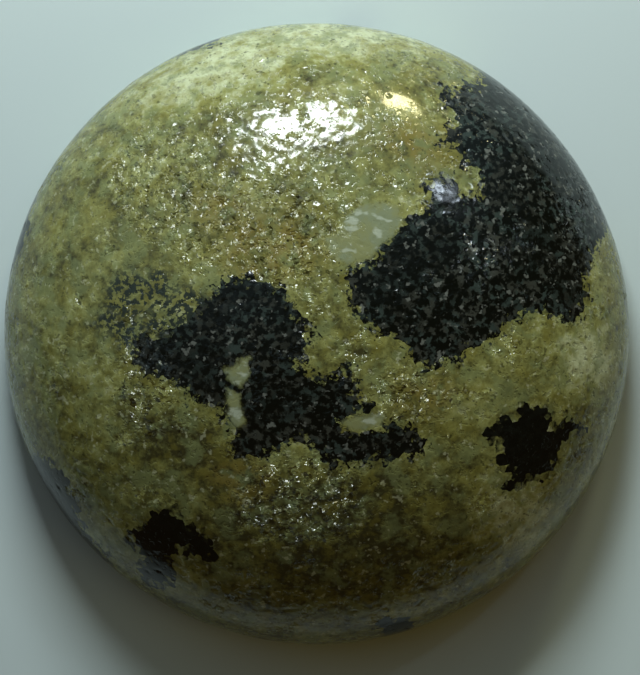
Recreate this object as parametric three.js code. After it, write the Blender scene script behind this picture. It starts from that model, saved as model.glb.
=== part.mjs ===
// A round cabochon of dalmatian jasper: one solid stone, ground and polished.
// The crown is half an ellipse turned about the stone's axis, so it comes down upright
// into a narrow girdle. A small back bevel leads in to the flat back that the stone rests on.
// Millimetres, +Z up. The origin is the middle of the flat back.

import * as THREE from "three";

// Driving dimensions
const GIRDLE_DIAMETER = 30;
const CROWN_HEIGHT = 8;
const GIRDLE_BAND = 0.8;
const BACK_BEVEL = 0.7;
const HAND_GROUND_OVAL = 0.05; // how far the girdle swells past its mean radius on one diameter
const OVAL_DIRECTION = THREE.MathUtils.degToRad(165);

// Steps from the girdle up to the top of the crown, and around the stone
const CROWN_STEPS = 26;
const STEPS_AROUND = 128;

const girdleRadius = GIRDLE_DIAMETER / 2;
const girdleTop = BACK_BEVEL + GIRDLE_BAND;

// Half of the stone's section, from the middle of the back round to the top of the crown.
function profile() {
  const points = [
    new THREE.Vector2(0, 0),
    new THREE.Vector2(girdleRadius - BACK_BEVEL, 0),
    new THREE.Vector2(girdleRadius, BACK_BEVEL),
  ];
  for (let step = 0; step < CROWN_STEPS; step++) {
    const turn = (Math.PI / 2) * (step / CROWN_STEPS);
    points.push(new THREE.Vector2(girdleRadius * Math.cos(turn), girdleTop + CROWN_HEIGHT * Math.sin(turn)));
  }
  points.push(new THREE.Vector2(0, girdleTop + CROWN_HEIGHT));
  return points;
}

// Grinding by hand leaves the stone very slightly oval.
function grindByHand(geometry) {
  const position = geometry.getAttribute("position");
  for (let index = 0; index < position.count; index++) {
    const x = position.getX(index);
    const y = position.getY(index);
    const swell = Math.cos(2 * (Math.atan2(y, x) - OVAL_DIRECTION));
    const stretch = 1 + (HAND_GROUND_OVAL / girdleRadius) * swell;
    position.setXY(index, x * stretch, y * stretch);
  }
}

function makeCabochon() {
  const geometry = new THREE.LatheGeometry(profile(), STEPS_AROUND);
  geometry.rotateX(Math.PI / 2);
  grindByHand(geometry);
  geometry.computeVertexNormals();
  const jasper = new THREE.MeshStandardMaterial({ color: "#8c8c5c", roughness: 0.2, metalness: 0 });
  const mesh = new THREE.Mesh(geometry, jasper);
  mesh.name = "cabochon";
  return mesh;
}

const stone = new THREE.Group();
stone.add(makeCabochon());

export default stone;
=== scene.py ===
# A dalmatian jasper cabochon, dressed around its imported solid.
# The stone is one mesh: a domed crown, an upright girdle, a back bevel and a flat lapped back.
# Its rock is a solid pattern in the stone's own space, so patches run on over the edges.
import math

import bpy
import numpy as np
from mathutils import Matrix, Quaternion, Vector


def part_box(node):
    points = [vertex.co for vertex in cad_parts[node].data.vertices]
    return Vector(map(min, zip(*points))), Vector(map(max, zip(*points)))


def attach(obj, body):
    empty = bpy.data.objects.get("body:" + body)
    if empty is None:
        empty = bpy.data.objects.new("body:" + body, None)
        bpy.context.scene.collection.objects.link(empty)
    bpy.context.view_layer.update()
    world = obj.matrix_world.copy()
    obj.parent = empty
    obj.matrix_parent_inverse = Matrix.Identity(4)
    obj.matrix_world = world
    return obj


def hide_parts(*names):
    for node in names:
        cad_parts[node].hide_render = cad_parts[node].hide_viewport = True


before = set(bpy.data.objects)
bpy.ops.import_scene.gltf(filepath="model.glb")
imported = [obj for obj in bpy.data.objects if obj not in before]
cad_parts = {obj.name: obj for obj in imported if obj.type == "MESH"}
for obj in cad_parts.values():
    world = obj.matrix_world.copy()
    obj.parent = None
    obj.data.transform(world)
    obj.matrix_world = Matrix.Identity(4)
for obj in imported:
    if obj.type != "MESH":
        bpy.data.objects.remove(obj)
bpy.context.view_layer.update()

MM = 0.001

# The stone's section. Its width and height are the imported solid's.
LOW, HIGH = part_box("cabochon")
GIRDLE_RADIUS = (HIGH.x - LOW.x + HIGH.y - LOW.y) / 4
BACK_BEVEL = 0.7 * MM
GIRDLE_BAND = 0.8 * MM
GIRDLE_TOP = BACK_BEVEL + GIRDLE_BAND
CROWN_HEIGHT = HIGH.z - GIRDLE_TOP
BACK_RADIUS = GIRDLE_RADIUS - BACK_BEVEL
EDGE_ROUNDING = 0.14 * MM
GIRDLE_ROWS = 5
BEVEL_ROWS = 4
CORNER_STEPS = 3
BACK_RINGS = (0.93, 0.8, 0.64, 0.46, 0.28, 0.12)  # as shares of the back's radius
OVAL_SWELL = 0.05 * MM
OVAL_DIRECTION = math.radians(165)
CREASE_ANGLE = math.radians(40)

# Relief that is cut into the mesh, in millimetres
WAVE_HEIGHT = 0.10
PEEL_HEIGHT = 0.018
PIT_DEPTH = 0.04

# Heights above the back, in millimetres, where the relief sets in and where the lapping ends
RELIEF_FROM = 0.9
RELIEF_FULL_FROM = 2.2
LAPPED_TO = 0.10
LAPPED_FULLY_TO = 0.03

# Where the camera stands, and how the stone lies in its picture
CAMERA_HEIGHT = 160 * MM
PICTURE_HEIGHT = 675
PICTURE_CENTRE = (320, 337.5)
STONE_CENTRE = (316.5, 333.5)
STONE_RADIUS = 311
PIXEL = GIRDLE_RADIUS / STONE_RADIUS

# Outlines of the minerals, in millimetres as seen from above. Where a patch meets the rim, its
# outline runs on outside the stone.
UPPER_RIGHT_PATCH = [
    (7.6, 13.2), (7.9, 12.6), (7.8, 12.0), (7.0, 11.9), (6.2, 11.7), (6.1, 11.0), (6.6, 10.6),
    (6.5, 10.0), (6.0, 9.6), (5.9, 9.1), (6.4, 8.9), (6.9, 8.8), (7.1, 8.1), (7.7, 7.8),
    (8.0, 7.6), (7.8, 6.9), (7.2, 6.6), (6.8, 7.0), (6.6, 7.5), (5.8, 7.6), (5.3, 7.1),
    (5.3, 6.4), (5.0, 5.8), (4.2, 5.3), (3.9, 4.8), (3.2, 4.2), (2.8, 3.6), (2.0, 3.3),
    (1.4, 2.9), (1.6, 2.2), (1.8, 1.4), (2.2, 0.7), (2.8, 0.0), (3.6, -0.1), (4.3, -0.5),
    (4.6, -1.2), (5.2, -1.7), (6.0, -1.7), (6.7, -1.3), (7.2, -0.7), (8.0, -0.6), (8.7, -0.3),
    (9.1, 0.4), (9.9, 0.8), (10.8, 1.1), (11.4, 0.7), (12.2, 0.6), (12.9, 1.0), (13.2, 1.8),
    (13.1, 2.6), (13.3, 3.3), (13.6, 4.2), (14.0, 5.0), (15.0, 5.6), (13.6, 10.5), (9.6, 13.6),
]
MIDDLE_PATCH = [
    (-4.6, 2.5), (-4.1, 2.8), (-3.4, 2.7), (-2.9, 2.4), (-2.2, 2.5), (-1.6, 2.2), (-1.3, 1.6),
    (-1.1, 1.1), (-0.4, 0.7), (-0.1, 0.1), (-0.4, -0.5), (-0.5, -1.2), (-0.9, -1.5), (-0.4, -1.9),
    (0.3, -2.1), (0.9, -1.8), (1.6, -1.7), (2.0, -2.4), (2.1, -3.1), (2.8, -3.4), (2.6, -3.8),
    (1.7, -3.9), (1.2, -4.3), (1.7, -4.75), (2.8, -4.7), (3.6, -4.4), (4.6, -4.5), (5.2, -5.2),
    (5.1, -5.8), (4.2, -6.1), (3.0, -6.2), (1.8, -6.3), (0.8, -6.4), (0.2, -5.9), (-0.5, -5.3),
    (-1.3, -5.3), (-2.0, -5.6), (-3.0, -6.0), (-3.9, -6.0), (-4.2, -5.4), (-4.0, -4.8),
    (-4.5, -4.1), (-4.6, -3.4), (-5.4, -3.4), (-6.2, -3.2), (-6.6, -2.5), (-7.4, -2.0),
    (-8.4, -1.9), (-8.9, -1.2), (-8.9, -0.4), (-8.4, -0.1), (-7.7, -0.1), (-7.0, 0.1),
    (-6.2, 0.6), (-5.6, 1.1), (-5.1, 1.8),
]
RIGHT_SPOT = [
    (8.1, -4.9), (8.5, -4.4), (9.0, -4.05), (9.6, -4.1), (9.7, -3.6), (10.0, -3.35), (10.4, -3.6),
    (10.9, -3.4), (11.2, -3.9), (11.4, -4.5), (11.8, -4.4), (12.3, -4.0), (12.9, -4.2),
    (13.0, -4.6), (12.4, -4.9), (11.8, -5.4), (11.6, -6.0), (11.3, -6.7), (10.9, -7.1),
    (10.3, -7.0), (9.9, -7.4), (9.2, -7.6), (8.95, -7.4), (9.4, -7.0), (9.4, -6.6), (8.9, -6.5),
    (8.5, -6.5), (8.5, -6.0), (8.8, -5.7), (8.7, -5.2), (8.2, -5.2),
]
LOWER_LEFT_SPOT = [
    (-9.1, -9.6), (-8.4, -9.2), (-8.1, -8.7), (-7.5, -8.4), (-6.9, -8.5), (-6.4, -9.0),
    (-5.8, -9.3), (-5.2, -9.8), (-4.8, -10.5), (-4.8, -10.9), (-5.5, -10.9), (-6.1, -10.6),
    (-6.7, -10.4), (-6.9, -10.9), (-6.8, -11.9), (-7.5, -12.3), (-8.3, -12.0), (-8.7, -11.4),
    (-8.1, -10.9), (-8.5, -10.5), (-9.0, -10.2),
]
LEFT_RIM_SPOT = [
    (-13.7, -5.9), (-12.9, -6.1), (-12.1, -6.8), (-11.6, -7.8), (-11.4, -8.9), (-10.9, -9.8),
    (-10.1, -10.8), (-10.8, -12.0), (-13.6, -9.4), (-15.2, -6.4),
]
BOTTOM_RIM_SPOT = [(2.9, -13.9), (3.1, -13.5), (3.9, -13.6), (4.6, -13.9), (4.5, -15.0), (3.4, -15.2)]
TOP_RIM_SPOT = [(-6.7, 13.4), (-5.6, 13.8), (-4.7, 14.0), (-4.6, 14.3), (-5.6, 14.1), (-6.7, 13.7)]
FLECKED_OUTLINES = [UPPER_RIGHT_PATCH, MIDDLE_PATCH]
SOLID_OUTLINES = [RIGHT_SPOT, LOWER_LEFT_SPOT, LEFT_RIM_SPOT, BOTTOM_RIM_SPOT, TOP_RIM_SPOT]
THIN_OUTLINES = [
    [
        (-9.9, 1.3), (-9.6, 2.2), (-9.0, 2.8), (-8.2, 2.4), (-7.6, 2.7), (-7.1, 2.1), (-7.3, 1.5),
        (-8.2, 1.4), (-8.9, 1.0),
    ],
    [(-10.4, 0.5), (-10.0, 0.9), (-9.1, 0.6), (-8.5, 0.0), (-9.2, -0.5), (-9.6, 0.0)],
    [(-8.0, 0.4), (-7.3, 1.4), (-6.4, 2.0), (-5.6, 1.5), (-6.4, 0.5), (-7.4, 0.0)],
]
QUARTZ_OUTLINES = [
    [
        (4.0, 6.1), (4.1, 5.3), (3.6, 4.7), (3.0, 4.2), (2.6, 3.7), (1.8, 3.4), (1.1, 3.5),
        (0.6, 4.0), (0.5, 4.6), (1.2, 5.0), (1.5, 5.7), (2.3, 6.2), (3.2, 6.3),
    ],
    [(-3.2, -1.1), (-3.2, -2.0), (-3.7, -2.6), (-4.2, -2.3), (-4.5, -1.7), (-3.9, -1.6), (-3.6, -1.2)],
    [(-4.3, -2.7), (-3.8, -2.8), (-3.6, -3.6), (-3.4, -4.5), (-4.0, -4.5), (-4.3, -3.7)],
    [(1.3, -4.3), (1.8, -4.05), (3.2, -4.0), (3.1, -4.4), (1.8, -4.7)],
]
# Soft-edged ovals of lighter and rustier rock, of painted light and of painted shade: x, y, half length,
# half width, turn in degrees
# The two ovals on the top rim are partly paler rock and partly painted light, on the side that faces the
# window
CREAM_AND_PAINTED_LIGHT_STAINS = [
    (-4.7, 12.9, 3.8, 1.3, 22),
    (1.0, 14.7, 5.4, 1.2, 0),
    (12.9, -1.0, 1.2, 1.6, 0),
    (9.4, -8.6, 1.6, 1.2, 30),
]
OCHRE_STAINS = [
    (-2.2, 4.2, 2.6, 1.7, 0),
    (5.2, -3.0, 1.4, 0.9, 0),
    (-3.7, -7.0, 1.6, 1.0, 0),
    (-4.5, 6.0, 1.6, 0.9, 0),
    (4.6, 9.2, 1.8, 1.0, -20),
]
# Painted shade: these ovals make the stone darker towards its bottom, on the side turned away from the
# window
PAINTED_SHADE_OVALS = [
    (0.6, -9.9, 6.0, 3.2, 0),
    (-6.5, -5.6, 2.4, 1.4, -20),
]
# Where soft grains have come out of the polish in numbers
PITTED_ZONES = [
    (-7.4, 7.4, 2.4, 2.6, 0),
    (-5.4, 4.7, 1.0, 1.5, 0),
    (-1.8, 5.7, 3.3, 1.9, -15),
    (-1.6, 3.1, 1.8, 0.7, 0),
    (-8.2, -2.5, 1.3, 2.2, 0),
    (-0.8, -8.1, 2.9, 2.0, 0),
    (4.3, -3.0, 1.4, 1.2, 0),
    (5.2, 12.9, 1.8, 0.4, -22),
    (8.0, 3.6, 0.8, 0.5, 30),
    (12.6, 6.4, 0.5, 1.1, 0),
]
# Spots where the polish is whole, so that a lamp's reflection stays in one piece
SMOOTH_ZONES = [
    (4.2, 11.1, 1.0, 0.6, -20),
    (6.2, 7.2, 0.7, 0.5, 0),
]
# Black spots that don't show from above: x, y, z and radius in millimetres
HIDDEN_SPOTS = [
    (-14.2, 4.5, 2.2, 1.3),
    (-13.4, 6.6, 1.6, 0.8),
    (2.0, 14.8, 0.6, 1.0),
    (-2.6, -14.7, 1.2, 1.0),
    (8.8, -12.2, 0.8, 1.2),
    (14.6, -2.6, 0.8, 0.9),
    (-4.0, 8.2, 0.0, 1.7),
    (-5.4, 7.2, 0.0, 1.1),
    (8.6, -6.0, 0.0, 1.5),
    (0.8, -9.6, 0.0, 1.5),
    (2.2, -8.4, 0.0, 1.0),
    (-9.0, 1.0, 0.0, 0.9),
]
NARROWING = 0.22  # how much an outline draws in for each millimetre below the crown

# Colours of the rock, in linear light
BLACK = (0.0012, 0.0030, 0.0024, 1)
FLECK = (0.028, 0.041, 0.036, 1)
FLECK_BROWN = (0.033, 0.037, 0.030, 1)
FLECK_PALE = (0.12, 0.13, 0.115, 1)
THIN = (0.016, 0.024, 0.020, 1)
OLIVE_DEEP = (0.041, 0.039, 0.014, 1)
OLIVE = (0.135, 0.137, 0.040, 1)
KHAKI = (0.24, 0.25, 0.082, 1)
CREAM = (0.46, 0.50, 0.30, 1)
GREYISH = (0.165, 0.195, 0.080, 1)
GOLDEN = (0.18, 0.165, 0.030, 1)
OCHRE = (0.15, 0.110, 0.020, 1)
QUARTZ = (0.20, 0.215, 0.095, 1)
QUARTZ_COOL = (0.185, 0.215, 0.125, 1)
# Painted glints: the colour of the white strokes on the quartz
QUARTZ_PAINTED_GLINT = (0.42, 0.47, 0.38, 1)
SPECK = (0.030, 0.032, 0.011, 1)
GRAIN = (0.48, 0.50, 0.32, 1)
JASPER_IOR = 1.54

# The room
FLOOR_WIDTH = 1.2
FLOOR_COLOUR = (0.515, 0.61, 0.61, 1)
FLOOR_ROUGHNESS = 0.7
WINDOW_LIGHT = (0.90, 0.98, 1.0)
LAMP_LIGHT = (1.0, 0.92, 0.50)
PANE_LIGHT = (0.75, 0.88, 1.0)
FILL_LIGHT = (1.0, 0.76, 0.22)
WAY_TO_WINDOW = (-0.35, 0.90, 0.25)
COOL_SIDE = (0.235, 0.305, 0.34, 1)
WARM_SIDE = (0.050, 0.030, 0.011, 1)


class Signal:
    """An output socket. Arithmetic on it adds Math nodes to its board."""

    def __init__(self, board, socket):
        self.board = board
        self.socket = socket

    def __add__(self, other):
        return self.board.maths("ADD", self, other)

    def __sub__(self, other):
        return self.board.maths("SUBTRACT", self, other)

    def __rsub__(self, other):
        return self.board.maths("SUBTRACT", other, self)

    def __mul__(self, other):
        return self.board.maths("MULTIPLY", self, other)

    def __gt__(self, other):
        return self.board.maths("GREATER_THAN", self, other)

    def __lt__(self, other):
        return self.board.maths("LESS_THAN", self, other)

    __radd__ = __add__


class Board:
    """A node tree to build on. It serves the stone's material, its relief and the room's light."""

    def __init__(self, tree):
        self.tree = tree

    def node(self, kind, settings=None, inputs=None, output=0):
        made = self.tree.nodes.new(kind)
        for name, value in (settings or {}).items():
            if name == "stops":
                set_stops(made.color_ramp, value)
            else:
                setattr(made, name, value)
        for name, value in (inputs or {}).items():
            if isinstance(value, Signal):
                self.tree.links.new(value.socket, made.inputs[name])
            else:
                made.inputs[name].default_value = value
        return Signal(self, made.outputs[output]) if len(made.outputs) else None

    def maths(self, operation, first, second=0.0):
        inputs = {0: first, 1: second}
        return self.node("ShaderNodeMath", {"operation": operation}, inputs)

    def vector(self, operation, first, second=(0, 0, 0), scale=1.0):
        inputs = {0: first, 1: second, 3: scale}
        output = "Value" if operation == "DOT_PRODUCT" else "Vector"
        return self.node("ShaderNodeVectorMath", {"operation": operation}, inputs, output)

    def mix(self, share, first, second):
        return self.node("ShaderNodeMix", {"data_type": "RGBA"}, {0: share, 6: first, 7: second}, 2)

    def ease(self, value, start, end):
        """0 before start and 1 after end, with a smooth turn between them."""
        inputs = {"Value": value, "From Min": start, "From Max": end}
        return self.node("ShaderNodeMapRange", {"interpolation_type": "SMOOTHSTEP"}, inputs)

    def noise(self, place, per_mm, detail=2.0, roughness=0.5, output="Fac"):
        inputs = {"Vector": place, "Scale": per_mm, "Detail": detail, "Roughness": roughness}
        return self.node("ShaderNodeTexNoise", {}, inputs, output)

    def cells(self, place, per_mm):
        """The middle of the crystal cell that holds the place, and three random numbers of that cell."""
        inputs = {"Vector": place, "Scale": per_mm}
        middle = self.node("ShaderNodeTexVoronoi", {"feature": "F1"}, inputs, "Position")
        chances = Signal(self, middle.socket.node.outputs["Color"])
        return middle, chances

    def shaken(self, place, per_mm, reach, detail=2.0):
        """The place moved about by noise, by up to about half the reach in millimetres."""
        swirl = self.noise(place, per_mm, detail, output="Color")
        centred = self.vector("SUBTRACT", swirl, (0.5, 0.5, 0.5))
        return self.vector("ADD", place, self.vector("SCALE", centred, scale=reach))

    def stored(self, name, output="Fac"):
        """A value that the mesh keeps at its vertices."""
        return self.node("ShaderNodeAttribute", {"attribute_name": name}, {}, output)


def set_stops(ramp, stops):
    while len(ramp.elements) < len(stops):
        ramp.elements.new(0.5)
    for element, (position, colour) in zip(ramp.elements, stops):
        element.position = position
        element.color = colour


def deselect_all():
    for thing in bpy.context.selected_objects:
        thing.select_set(False)


def rounded_corner(before, corner, after):
    """The points of a small curve that takes the edge off a corner of the section."""
    points = []
    for step in range(1, CORNER_STEPS + 1):
        share = step / CORNER_STEPS
        points.append(before * (1 - share) ** 2 + corner * 2 * share * (1 - share) + after * share ** 2)
    return points


def lower_section():
    """Points of radius and height from under the crown, round girdle and bevel, to the back's middle."""
    girdle_foot = Vector((GIRDLE_RADIUS, BACK_BEVEL))
    back_edge = Vector((BACK_RADIUS, 0))
    down_girdle = Vector((0, EDGE_ROUNDING))
    along_bevel = (girdle_foot - back_edge).normalized() * EDGE_ROUNDING
    into_back = Vector((EDGE_ROUNDING, 0))
    girdle_start = Vector((GIRDLE_RADIUS, GIRDLE_TOP))
    girdle_end = girdle_foot + down_girdle
    points = [girdle_start.lerp(girdle_end, row / GIRDLE_ROWS) for row in range(1, GIRDLE_ROWS + 1)]
    bevel_start = girdle_foot - along_bevel
    points += rounded_corner(girdle_end, girdle_foot, bevel_start)
    bevel_end = back_edge + along_bevel
    points += [bevel_start.lerp(bevel_end, row / BEVEL_ROWS) for row in range(1, BEVEL_ROWS + 1)]
    points += rounded_corner(bevel_end, back_edge, back_edge - into_back)
    points += [Vector((BACK_RADIUS * share, 0)) for share in BACK_RINGS]
    return points


def shape_stone():
    """The smooth form: half of a sphere pressed down to the crown, its rim extruded round to the back."""
    deselect_all()
    bpy.ops.mesh.primitive_ico_sphere_add(subdivisions=8, radius=GIRDLE_RADIUS, location=(0, 0, 0))
    stone = bpy.context.object
    stone.name = "jasper_stone"
    bpy.ops.object.mode_set(mode="EDIT")
    bpy.ops.mesh.select_all(action="SELECT")
    bpy.ops.mesh.bisect(plane_co=(0, 0, 0), plane_no=(0, 0, 1), clear_inner=True)
    bpy.ops.mesh.select_all(action="SELECT")
    bpy.ops.transform.resize(value=(1, 1, CROWN_HEIGHT / GIRDLE_RADIUS), center_override=(0, 0, 0))
    bpy.ops.transform.translate(value=(0, 0, GIRDLE_TOP))
    bpy.ops.mesh.select_mode(type="EDGE")
    bpy.ops.mesh.select_all(action="DESELECT")
    bpy.ops.mesh.select_non_manifold()
    last = Vector((GIRDLE_RADIUS, GIRDLE_TOP))
    for point in lower_section():
        drop = {"value": (0, 0, point.y - last.y)}
        bpy.ops.mesh.extrude_region_move(TRANSFORM_OT_translate=drop)
        narrowing = point.x / last.x
        bpy.ops.transform.resize(value=(narrowing, narrowing, 1), center_override=(0, 0, point.y))
        last = point
    bpy.ops.mesh.edge_face_add()
    bpy.ops.mesh.poke()
    bpy.ops.mesh.select_all(action="SELECT")
    bpy.ops.mesh.normals_make_consistent(inside=False)
    bpy.ops.object.mode_set(mode="OBJECT")
    return stone


def grind_oval(stone):
    """Hand grinding leaves the outline a touch wider along one diameter."""
    swell = OVAL_SWELL / GIRDLE_RADIUS
    stone.rotation_euler.z = -OVAL_DIRECTION
    bpy.ops.object.transform_apply(rotation=True)
    stone.scale = (1 + swell, 1 - swell, 1)
    bpy.ops.object.transform_apply(scale=True)
    stone.rotation_euler.z = OVAL_DIRECTION
    bpy.ops.object.transform_apply(rotation=True)


def large_pits(board, place):
    """Ragged hollows a third of a millimetre across, scattered: 1 in each and 0 outside."""
    return board.ease(board.noise(place, 1.9, 2.0, 0.6), 0.63, 0.71)


def small_pits(board, place):
    """Finer ragged hollows, closer together."""
    return board.ease(board.noise(place, 3.4, 2.0, 0.55), 0.57, 0.66)


def broken_faces(board, place):
    """Crystals broken out of the polish, each leaving one flat face at its own steep slant."""
    uneven = board.shaken(place, 5.0, 0.22, 1.0)
    middle, chances = board.cells(uneven, 4.9)
    slant = board.vector("SUBTRACT", chances, (0.5, 0.68, 0.5))
    rise = board.vector("DOT_PRODUCT", slant, board.vector("SUBTRACT", uneven, middle))
    chance = board.node("ShaderNodeSeparateXYZ", {}, {0: chances}, "Z")
    steepness = chance + 0.45
    return rise * steepness * (board.noise(place, 2.2, 1.0) > 0.45) * (chance < 0.85)


def carve_relief(stone):
    """Cuts the larger pits and the faint waves of hand polishing into the mesh."""
    tree = bpy.data.node_groups.new("polish relief", "GeometryNodeTree")
    tree.interface.new_socket(name="Geometry", in_out="INPUT", socket_type="NodeSocketGeometry")
    tree.interface.new_socket(name="Geometry", in_out="OUTPUT", socket_type="NodeSocketGeometry")
    board = Board(tree)
    place = board.vector("SCALE", board.node("GeometryNodeInputPosition"), scale=1 / MM)
    height_above_back = board.node("ShaderNodeSeparateXYZ", {}, {0: place}, "Z")
    polished = board.ease(height_above_back, RELIEF_FROM, RELIEF_FULL_FROM)
    waves = (board.noise(place, 0.22, 1.0) - 0.5) * WAVE_HEIGHT
    peel = (board.noise(place, 1.3, 1.0) - 0.5) * PEEL_HEIGHT
    pits = large_pits(board, place) * PIT_DEPTH
    lift = (waves + peel - pits) * polished * MM
    offset = board.vector("SCALE", board.node("GeometryNodeInputNormal"), scale=lift)
    source = board.node("NodeGroupInput")
    moved = board.node("GeometryNodeSetPosition", {}, {"Geometry": source, "Offset": offset})
    board.node("NodeGroupOutput", {}, {0: moved})
    relief = stone.modifiers.new("polish relief", "NODES")
    relief.node_group = tree
    bpy.ops.object.modifier_apply(modifier=relief.name)


def crown_heights(places):
    """How high the crown stands over each place, in millimetres."""
    out = np.minimum(1, np.hypot(places[:, 0], places[:, 1]) * MM / GIRDLE_RADIUS)
    return (GIRDLE_TOP + CROWN_HEIGHT * np.sqrt(1 - out * out)) / MM


def outside_outline(seen, outline):
    """How far each place lies outside an outline, below 0 inside it, and the way straight out."""
    corners = np.array(outline, float)
    nearest = np.full(len(seen), np.inf)
    way_out = np.zeros(seen.shape)
    inside = np.zeros(len(seen), bool)
    for start, end in zip(corners, np.roll(corners, -1, axis=0)):
        edge = end - start
        along = np.clip((seen - start) @ edge / (edge @ edge), 0, 1)
        gap = seen - start - along[:, None] * edge
        distance = np.hypot(gap[:, 0], gap[:, 1])
        nearer = distance < nearest
        nearest[nearer] = distance[nearer]
        way_out[nearer] = gap[nearer]
        between = (start[1] > seen[:, 1]) != (end[1] > seen[:, 1])
        rise = edge[1] if edge[1] else 1.0
        inside ^= between & (seen[:, 0] < start[0] + edge[0] * (seen[:, 1] - start[1]) / rise)
    side = np.where(inside, -1, 1)
    return nearest * side, way_out * (side / np.maximum(nearest, 1e-6))[:, None]


def outside_outlines(seen, outlines):
    """The same for a group of outlines, from the one whose edge is nearest."""
    distance, way_out = outside_outline(seen, outlines[0])
    for outline in outlines[1:]:
        other, other_way = outside_outline(seen, outline)
        nearer = other < distance
        distance[nearer] = other[nearer]
        way_out[nearer] = other_way[nearer]
    return distance, way_out


def outside_stains(seen, stains):
    """How far each place lies outside a group of oval stains, below 0 inside them."""
    nearest = np.full(len(seen), np.inf)
    for x, y, length, width, turn in stains:
        across = np.array((math.cos(math.radians(turn)), math.sin(math.radians(turn))))
        up = np.array((-across[1], across[0]))
        local = seen - (x, y)
        reach = np.hypot(local @ across / length, local @ up / width)
        nearest = np.minimum(nearest, (reach - 1) * min(length, width))
    return nearest


def store(stone, name, kind, values):
    attribute = stone.data.attributes.new(name, kind, "POINT")
    attribute.data.foreach_set("value" if kind == "FLOAT" else "vector", values.astype(np.float32).ravel())


def map_minerals(stone):
    """Stores at each vertex how far it lies from each mineral's edge and from the stains, zones and painted
    light and shade, in millimetres.
    """
    places = np.zeros(len(stone.data.vertices) * 3)
    stone.data.vertices.foreach_get("co", places)
    places = places.reshape(-1, 3) / MM

    # The outlines were read from above, so each place is moved to where the camera sees it on the
    # plane of the girdle's top. Depth is how far it lies below the crown.
    crown = crown_heights(places)
    nearness = (CAMERA_HEIGHT - GIRDLE_TOP) / MM / (CAMERA_HEIGHT / MM - crown)
    seen = places[:, :2] * nearness[:, None]
    depth = np.maximum(0, crown - places[:, 2])

    flecked, flecked_way = outside_outlines(seen, FLECKED_OUTLINES)
    solid, solid_way = outside_outlines(seen, SOLID_OUTLINES)
    flecked += depth * NARROWING
    solid += depth * NARROWING
    black = np.minimum(flecked, solid)
    way_out = np.zeros(places.shape)
    way_out[:, :2] = np.where((flecked < solid)[:, None], flecked_way, solid_way)
    for x, y, z, radius in HIDDEN_SPOTS:
        gap = places - (x, y, z)
        reach = np.linalg.norm(gap, axis=1)
        nearer = reach - radius < black
        black[nearer] = (reach - radius)[nearer]
        way_out[nearer] = (gap / np.maximum(reach, 1e-6)[:, None])[nearer]
    thin, _ = outside_outlines(seen, THIN_OUTLINES)
    quartz, _ = outside_outlines(seen, QUARTZ_OUTLINES)
    stains = {
        "cream_edge": CREAM_AND_PAINTED_LIGHT_STAINS,
        "ochre_edge": OCHRE_STAINS,
        "dark_edge": PAINTED_SHADE_OVALS,
        "pitted_edge": PITTED_ZONES,
        "smooth_edge": SMOOTH_ZONES,
    }
    store(stone, "black_edge", "FLOAT", black)
    store(stone, "way_out_of_black", "FLOAT_VECTOR", way_out)
    store(stone, "flecked_edge", "FLOAT", flecked)
    store(stone, "thin_edge", "FLOAT", thin + depth)
    store(stone, "quartz_edge", "FLOAT", quartz + depth * NARROWING)
    for name, ovals in stains.items():
        store(stone, name, "FLOAT", outside_stains(seen, ovals))


class Rock:
    """The noises and the minerals' masks that the stone's colours and its polish share."""

    def __init__(self, board):
        self.board = board
        self.place = board.vector("SCALE", board.node("ShaderNodeTexCoord", output="Object"), scale=1 / MM)
        self.wander = (board.noise(self.place, 1.2, 3.0, 0.6) - 0.5) * 0.9
        self.grit = board.noise(self.place, 3.7, 2.0, 0.65)
        self.broad = board.noise(self.place, 0.45, 3.0)
        self.middling = board.noise(self.place, 1.7, 3.0, 0.6)
        self.hue = board.noise(board.vector("ADD", self.place, (3.1, 9.4, 5.2)), 0.9, 3.0, 0.6)
        grain_place = board.vector("ADD", self.place, (7.3, 2.1, 4.4))
        self.pale_grains = board.ease(board.noise(grain_place, 2.6, 2.0, 0.6), 0.61, 0.70)
        self.flecked = board.ease(board.stored("flecked_edge"), 1.2, 0.2)
        self.quartz = self.quartz_mask()
        self.black = self.black_mask()

    def quartz_mask(self):
        edge = self.board.stored("quartz_edge") + self.wander * 0.4 + (self.grit - 0.5) * 0.5
        return self.board.ease(edge, 0.16, -0.16)

    def black_mask(self):
        """Crystals of the black mineral end at their own faces, so a patch is made of whole cells."""
        board = self.board
        uneven = board.shaken(self.place, 4.5, 0.16)
        crystal, chances = board.cells(uneven, 2.9)
        chance = board.node("ShaderNodeSeparateXYZ", {}, {0: chances}, "X")
        to_crystal = board.vector("SUBTRACT", crystal, uneven)
        step_out = board.vector("DOT_PRODUCT", board.stored("way_out_of_black", "Vector"), to_crystal)
        ragged = self.wander + (chance - 0.5) * 0.35 + (self.grit - 0.5) * self.flecked * 1.4
        edge = board.stored("black_edge") + step_out + ragged
        return board.ease(edge, 0.11, -0.11) * (1 - self.quartz)

    def stain(self, name, softness):
        """1 inside a group of stains and 0 outside them, with a soft and wandering edge."""
        return self.board.ease(self.board.stored(name) + self.wander, softness, -softness)


def quartz_colour(rock):
    """Greyish and clear, with a few white strokes painted in as glints."""
    board = rock.board
    clear = board.mix(board.ease(rock.hue, 0.40, 0.62), QUARTZ, QUARTZ_COOL)
    # Painted glints: white strokes stand for reflections on the quartz
    strokes = board.noise(board.vector("MULTIPLY", rock.place, (0.9, 1.7, 1.0)), 1.5, 2.0)
    return board.mix(board.ease(strokes, 0.54, 0.66) * 0.6, clear, QUARTZ_PAINTED_GLINT)


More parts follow.
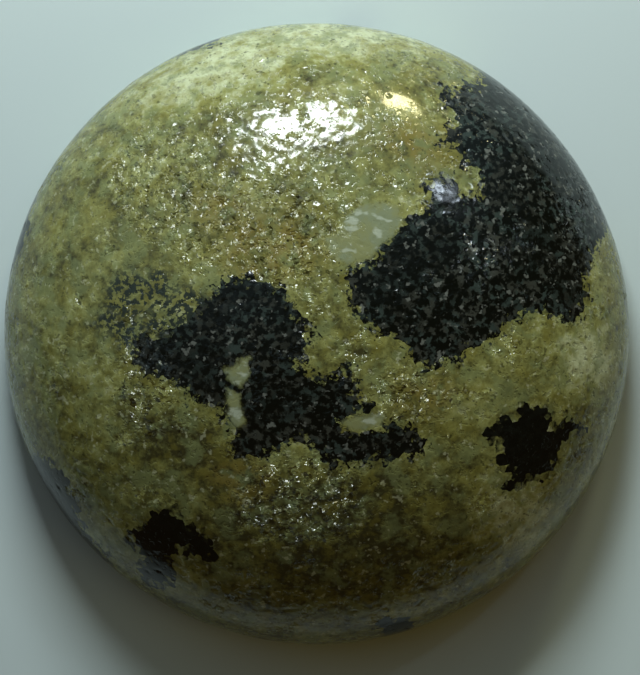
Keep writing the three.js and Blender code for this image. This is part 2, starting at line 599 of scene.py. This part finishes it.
def ground_colour(rock):
    """Olive to khaki, lighter and darker by patches, with stains, partly painted light on the top rim,
    painted shade lower down, specks, pale grains and quartz.
    """
    board = rock.board
    fine = board.noise(rock.place, 5.5, 2.0, 0.6)
    tone = rock.broad * 0.32 + rock.middling * 0.52 + fine * 0.16
    # Cream ovals lighten the ground, on the top rim partly as painted light, and the painted shade ovals
    # darken its lower part
    tone = tone + rock.stain("cream_edge", 1.2) * 0.22 - rock.stain("dark_edge", 1.6) * 0.13
    stops = [(0.36, OLIVE_DEEP), (0.47, OLIVE), (0.57, KHAKI), (0.74, CREAM)]
    ground = board.node("ShaderNodeValToRGB", {"stops": stops}, {"Fac": tone}, "Color")
    ground = board.mix(board.ease(rock.hue, 0.50, 0.62) * 0.6, ground, GREYISH)
    ground = board.mix(board.ease(rock.hue, 0.47, 0.36) * 0.42, ground, GOLDEN)
    rusty = rock.stain("ochre_edge", 0.9) * board.ease(rock.middling, 0.36, 0.60)
    ground = board.mix(rusty * 0.75, ground, OCHRE)
    specks = board.ease(rock.grit, 0.60, 0.69)
    pits = board.maths("MAXIMUM", small_pits(board, rock.place), large_pits(board, rock.place))
    ground = board.mix(board.maths("MAXIMUM", specks * 0.66, pits * 0.28), ground, SPECK)
    ground = board.mix(rock.pale_grains * 0.42, ground, GRAIN)
    thin = board.ease(board.stored("thin_edge") + rock.wander, 0.8, 0.0)
    ground = board.mix(thin * (0.12 + board.ease(rock.grit, 0.46, 0.53) * 0.84), ground, THIN)
    return board.mix(rock.quartz, ground, quartz_colour(rock))


def black_colour(rock):
    """Greenish and brownish flecks and pale grains in the larger patches, and nearly none in the others."""
    board = rock.board
    fleck_noise = board.noise(board.shaken(rock.place, 4.0, 0.2), 3.2, 2.0, 0.55)
    fleck_tone = board.mix(board.ease(rock.hue, 0.44, 0.56), FLECK_BROWN, FLECK)
    fleck_share = (0.12 + rock.flecked * 0.88) * (0.45 + board.ease(rock.broad, 0.40, 0.58) * 0.55)
    dark = board.mix(board.ease(fleck_noise, 0.46, 0.62) * fleck_share, BLACK, fleck_tone)
    return board.mix(rock.pale_grains * rock.flecked * 0.85, dark, FLECK_PALE)


def polish(rock):
    """Bump and roughness: glossy with a fine ripple, open pits in the ground, and a matt lapped back."""
    board = rock.board
    height_above_back = board.node("ShaderNodeSeparateXYZ", {}, {0: rock.place}, "Z")
    lapped = board.ease(height_above_back, LAPPED_TO, LAPPED_FULLY_TO)
    pitted = board.maths(
        "MAXIMUM",
        board.ease(board.stored("pitted_edge"), 0.7, -0.5),
        board.ease(board.noise(rock.place, 0.6, 1.0), 0.59, 0.68) * 0.6,
    )
    smooth = board.ease(board.stored("smooth_edge"), 0.5, -0.1)
    softened = (1 - board.maths("MAXIMUM", rock.black * 0.45, rock.quartz * 0.6)) * (1 - smooth * 0.85)
    peel = (board.noise(rock.place, 2.5, 0.5) - 0.5) * 0.052
    ripple = peel * (0.50 + pitted * 0.9) - small_pits(board, rock.place) * (0.012 + pitted * 0.015)
    broken = broken_faces(board, rock.place) * pitted * 1.75
    along_lap = board.vector("MULTIPLY", rock.place, (9.0, 0.6, 1.0))
    lap_marks = board.noise(along_lap, 1.4, 3.0, 0.6) * 0.004 * lapped
    height = (ripple + broken) * (1 - lapped) + lap_marks
    relief = {"Strength": softened, "Distance": MM, "Height": height}
    bump = board.node("ShaderNodeBump", {}, relief, "Normal")
    return bump, 0.12 + pitted * 0.04 + lapped * 0.32


def jasper_material():
    material = bpy.data.materials.new("dalmatian jasper")
    material.use_nodes = True
    material.node_tree.nodes.clear()
    board = Board(material.node_tree)
    rock = Rock(board)
    colour = board.mix(rock.black, ground_colour(rock), black_colour(rock))
    bump, roughness = polish(rock)
    inputs = {"Base Color": colour, "Roughness": roughness, "Normal": bump, "IOR": JASPER_IOR}
    stone = board.node("ShaderNodeBsdfPrincipled", {}, inputs, "BSDF")
    board.node("ShaderNodeOutputMaterial", {}, {"Surface": stone})
    return material


def floor_material():
    material = bpy.data.materials.new("pale floor")
    material.use_nodes = True
    surface = material.node_tree.nodes["Principled BSDF"]
    surface.inputs["Base Color"].default_value = FLOOR_COLOUR
    surface.inputs["Roughness"].default_value = FLOOR_ROUGHNESS
    return material


def lay_floor():
    deselect_all()
    bpy.ops.mesh.primitive_plane_add(size=FLOOR_WIDTH, location=(0, 0, 0))
    floor = bpy.context.object
    floor.name = "floor"
    floor.data.materials.append(floor_material())


def hang_light(name, azimuth, elevation, distance, width, height, power, colour, turn=0.0):
    """A rectangular light that faces the stone. Azimuth is clockwise from the top of the picture."""
    lamp = bpy.data.lights.new(name, "AREA")
    lamp.shape = "RECTANGLE"
    lamp.size = width
    lamp.size_y = height
    lamp.energy = power
    lamp.color = colour
    light = bpy.data.objects.new(name, lamp)
    bpy.context.scene.collection.objects.link(light)
    bearing = math.radians(azimuth)
    rise = math.radians(elevation)
    flat = math.cos(rise)
    direction = Vector((math.sin(bearing) * flat, math.cos(bearing) * flat, math.sin(rise)))
    light.location = direction * distance
    facing = direction.to_track_quat("Z", "Y")
    light.rotation_mode = "QUATERNION"
    light.rotation_quaternion = facing @ Quaternion((0, 0, 1), math.radians(turn))
    light.visible_camera = False
    return light


def light_scene():
    """A small near window, a warm lamp, a far pane and a broad warm fill from the right."""
    window = {"azimuth": -4.5, "elevation": 36.5, "width": 42 * MM, "height": 28 * MM, "turn": 23}
    lamp = {"azimuth": 20, "elevation": 20, "width": 34 * MM, "height": 22 * MM}
    pane = {"azimuth": 41, "elevation": 42, "width": 11 * MM, "height": 8 * MM}
    fill = {"azimuth": 112, "elevation": 30, "width": 160 * MM, "height": 120 * MM}
    hang_light("window", distance=112 * MM, power=0.110, colour=WINDOW_LIGHT, **window)
    # Part of the window's light has no reflection, so that its glint isn't too bright.
    window_glow = hang_light("window glow", distance=113 * MM, power=0.015, colour=WINDOW_LIGHT, **window)
    window_glow.visible_glossy = False
    hang_light("warm lamp", distance=260 * MM, power=0.09, colour=LAMP_LIGHT, **lamp)
    hang_light("far pane", distance=220 * MM, power=0.010, colour=PANE_LIGHT, **pane)
    warm_fill = hang_light("warm fill", distance=300 * MM, power=0.055, colour=FILL_LIGHT, **fill)
    warm_fill.visible_glossy = False


def light_room():
    """The room's own light: cool from the window's side, and dim and warm from the others."""
    world = bpy.data.worlds.new("room")
    bpy.context.scene.world = world
    world.use_nodes = True
    world.node_tree.nodes.clear()
    board = Board(world.node_tree)
    way = board.node("ShaderNodeTexCoord", output="Generated")
    toward_window = board.vector("DOT_PRODUCT", way, WAY_TO_WINDOW)
    colour = board.mix(board.ease(toward_window, 0.14, 0.92), WARM_SIDE, COOL_SIDE)
    background = board.node("ShaderNodeBackground", {}, {"Color": colour}, "Background")
    board.node("ShaderNodeOutputWorld", {}, {"Surface": background})


def set_camera():
    lens = bpy.data.cameras.new("camera")
    camera = bpy.data.objects.new("camera", lens)
    bpy.context.scene.collection.objects.link(camera)
    right = (PICTURE_CENTRE[0] - STONE_CENTRE[0]) * PIXEL
    down = (PICTURE_CENTRE[1] - STONE_CENTRE[1]) * PIXEL
    camera.location = (right, -down, CAMERA_HEIGHT)
    lens.sensor_width = 36
    half_picture = PICTURE_HEIGHT / 2 * PIXEL
    lens.lens = lens.sensor_width / 2 * (CAMERA_HEIGHT - GIRDLE_TOP) / half_picture
    lens.clip_start = 1 * MM
    bpy.context.scene.camera = camera


stone = shape_stone()
grind_oval(stone)
carve_relief(stone)
map_minerals(stone)
bpy.ops.object.shade_smooth_by_angle(angle=CREASE_ANGLE)
stone.data.materials.clear()
stone.data.materials.append(jasper_material())
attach(stone, "root")
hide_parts("cabochon")

lay_floor()
light_scene()
light_room()
set_camera()
bpy.context.scene.view_settings.view_transform = "Standard"
